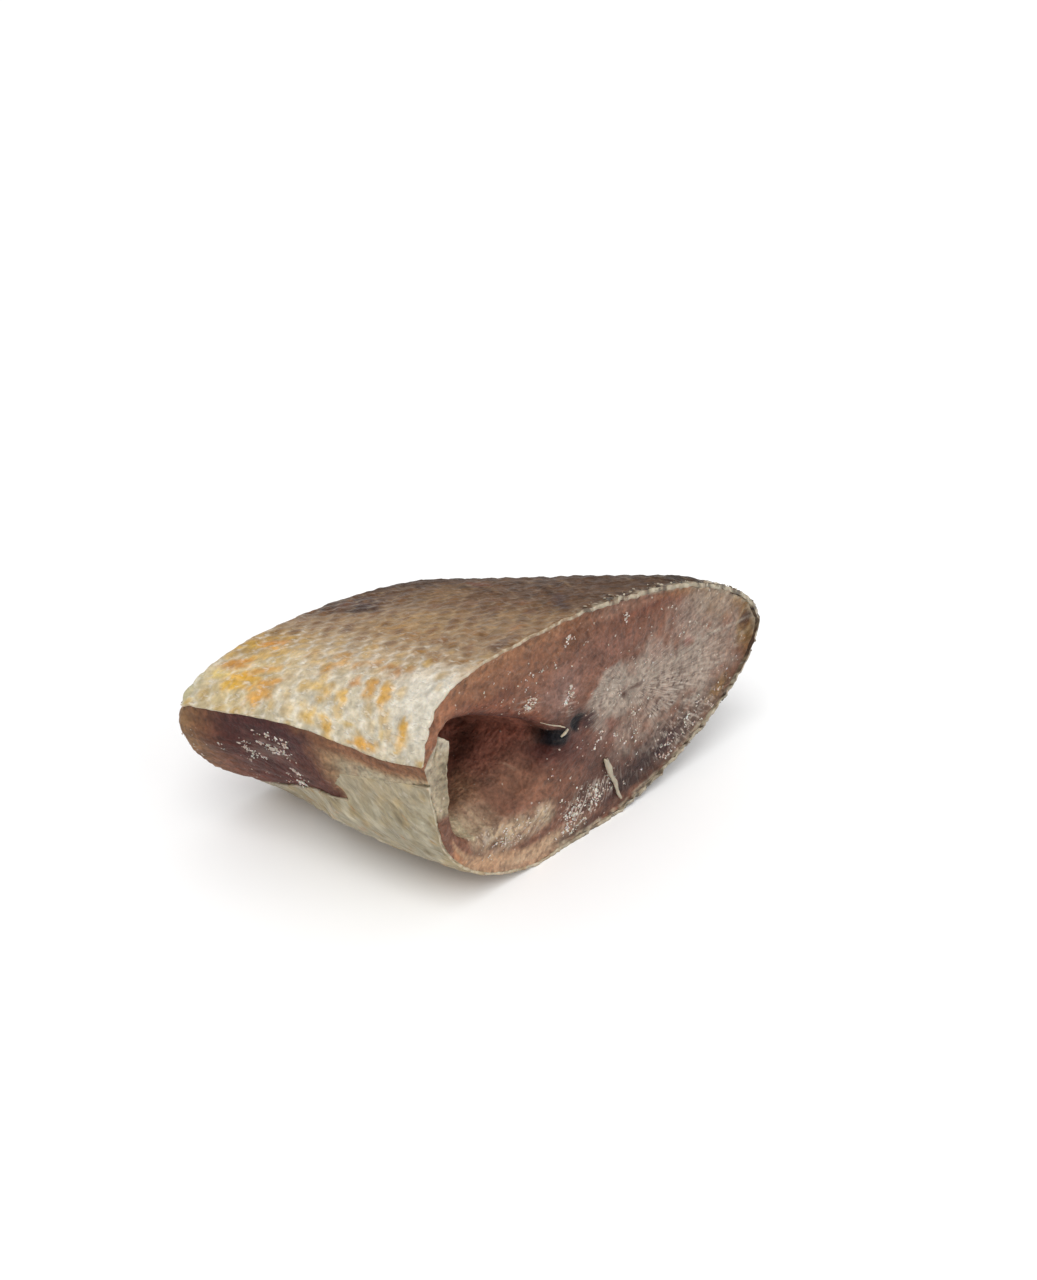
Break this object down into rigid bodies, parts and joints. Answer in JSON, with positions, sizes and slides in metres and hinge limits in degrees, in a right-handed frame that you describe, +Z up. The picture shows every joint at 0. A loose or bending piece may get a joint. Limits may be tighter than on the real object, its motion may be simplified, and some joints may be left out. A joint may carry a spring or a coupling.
{
  "type": "yellow croaker steak",
  "caption": "Frozen steak cut across a yellow croaker, lying on its flank, with skin all round, a leaf-shaped gut cavity open at one cut, and a trimmed belly edge.",
  "frame": {"origin": "middle of the steak's bounding box, on the surface that it lies on", "axes": "+X from the belly to the back, +Y from the near cut, which shows the cavity, to the rear cut, +Z up through the thickness of the fish"},
  "size_m": [0.1064, 0.057, 0.0535],
  "materials": {
    "flesh": "raw frozen fish flesh, brownish pink, orange brown under the skin, with grey frost",
    "skin": "scaled fish skin, silvery cream belly with orange yellow spots, tan flank and dark brown back, wet",
    "frost": "white ice crystals and frost"
  },
  "bodies": {
    "root": {"steak": "flesh"}
  },
  "joints": []
}
